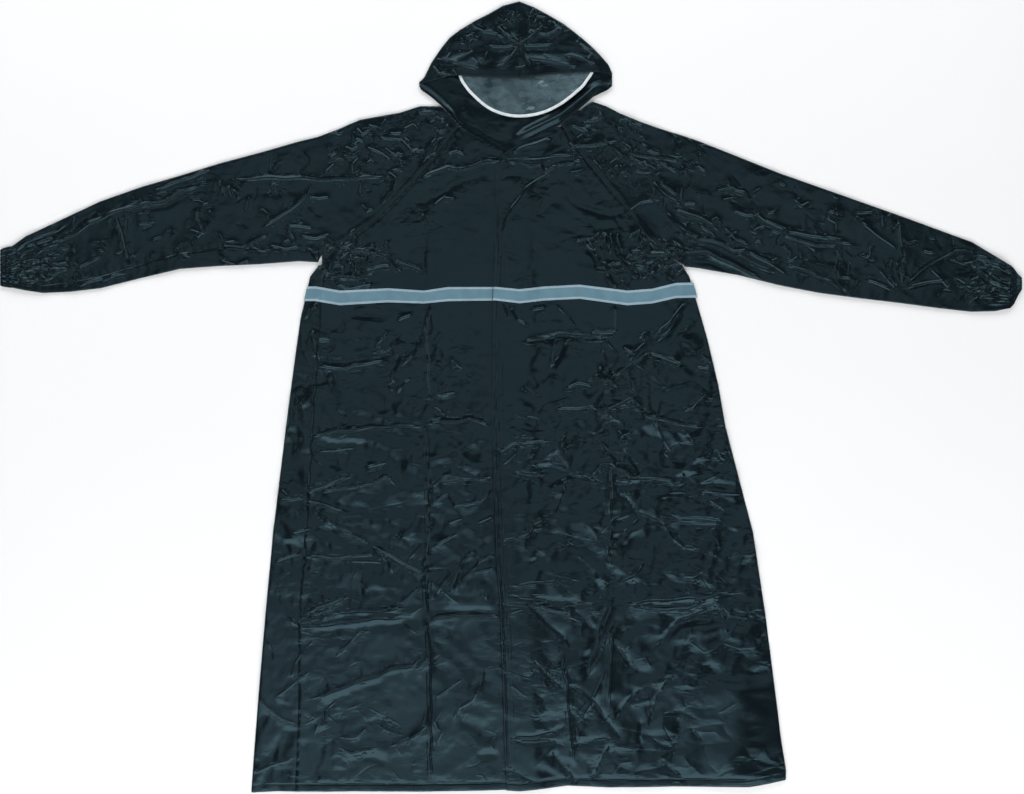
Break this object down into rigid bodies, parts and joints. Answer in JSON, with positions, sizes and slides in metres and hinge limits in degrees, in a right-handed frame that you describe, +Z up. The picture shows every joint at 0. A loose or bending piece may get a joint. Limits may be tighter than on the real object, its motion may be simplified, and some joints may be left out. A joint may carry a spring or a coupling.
{
  "type": "hooded raincoat",
  "caption": "Long hooded raincoat laid flat: raglan sleeves, gathered cuffs, covered snap front, reflective chest tape and a clear visor in the hood",
  "frame": {"origin": "middle of the laid coat's outline, on the surface that it lies on", "axes": "+X towards the wearer's left sleeve, +Y towards the hood, +Z up from the surface"},
  "size_m": [1.738, 1.346, 0.0123],
  "materials": {
    "cloth": "glossy coated cloth, finely woven, creased from packing",
    "tape": "silver-grey reflective tape, satin",
    "visor": "soft clear sheet, slightly cloudy",
    "binding": "white plastic-coated binding",
    "snap": "satin metal, hidden below the fly"
  },
  "bodies": {
    "root": {"back": "cloth", "front_left": "cloth", "front_right": "cloth", "sleeve_left": "cloth", "sleeve_right": "cloth", "cuff_left": "cloth", "cuff_right": "cloth", "hood_left": "cloth", "hood_right": "cloth", "tape_front_left": "tape", "tape_front_right": "tape", "tape_back": "tape", "visor": "visor", "visor_binding": "binding", "snap_1": "snap", "snap_2": "snap", "snap_3": "snap", "snap_4": "snap", "snap_5": "snap", "snap_6": "snap"}
  },
  "joints": []
}
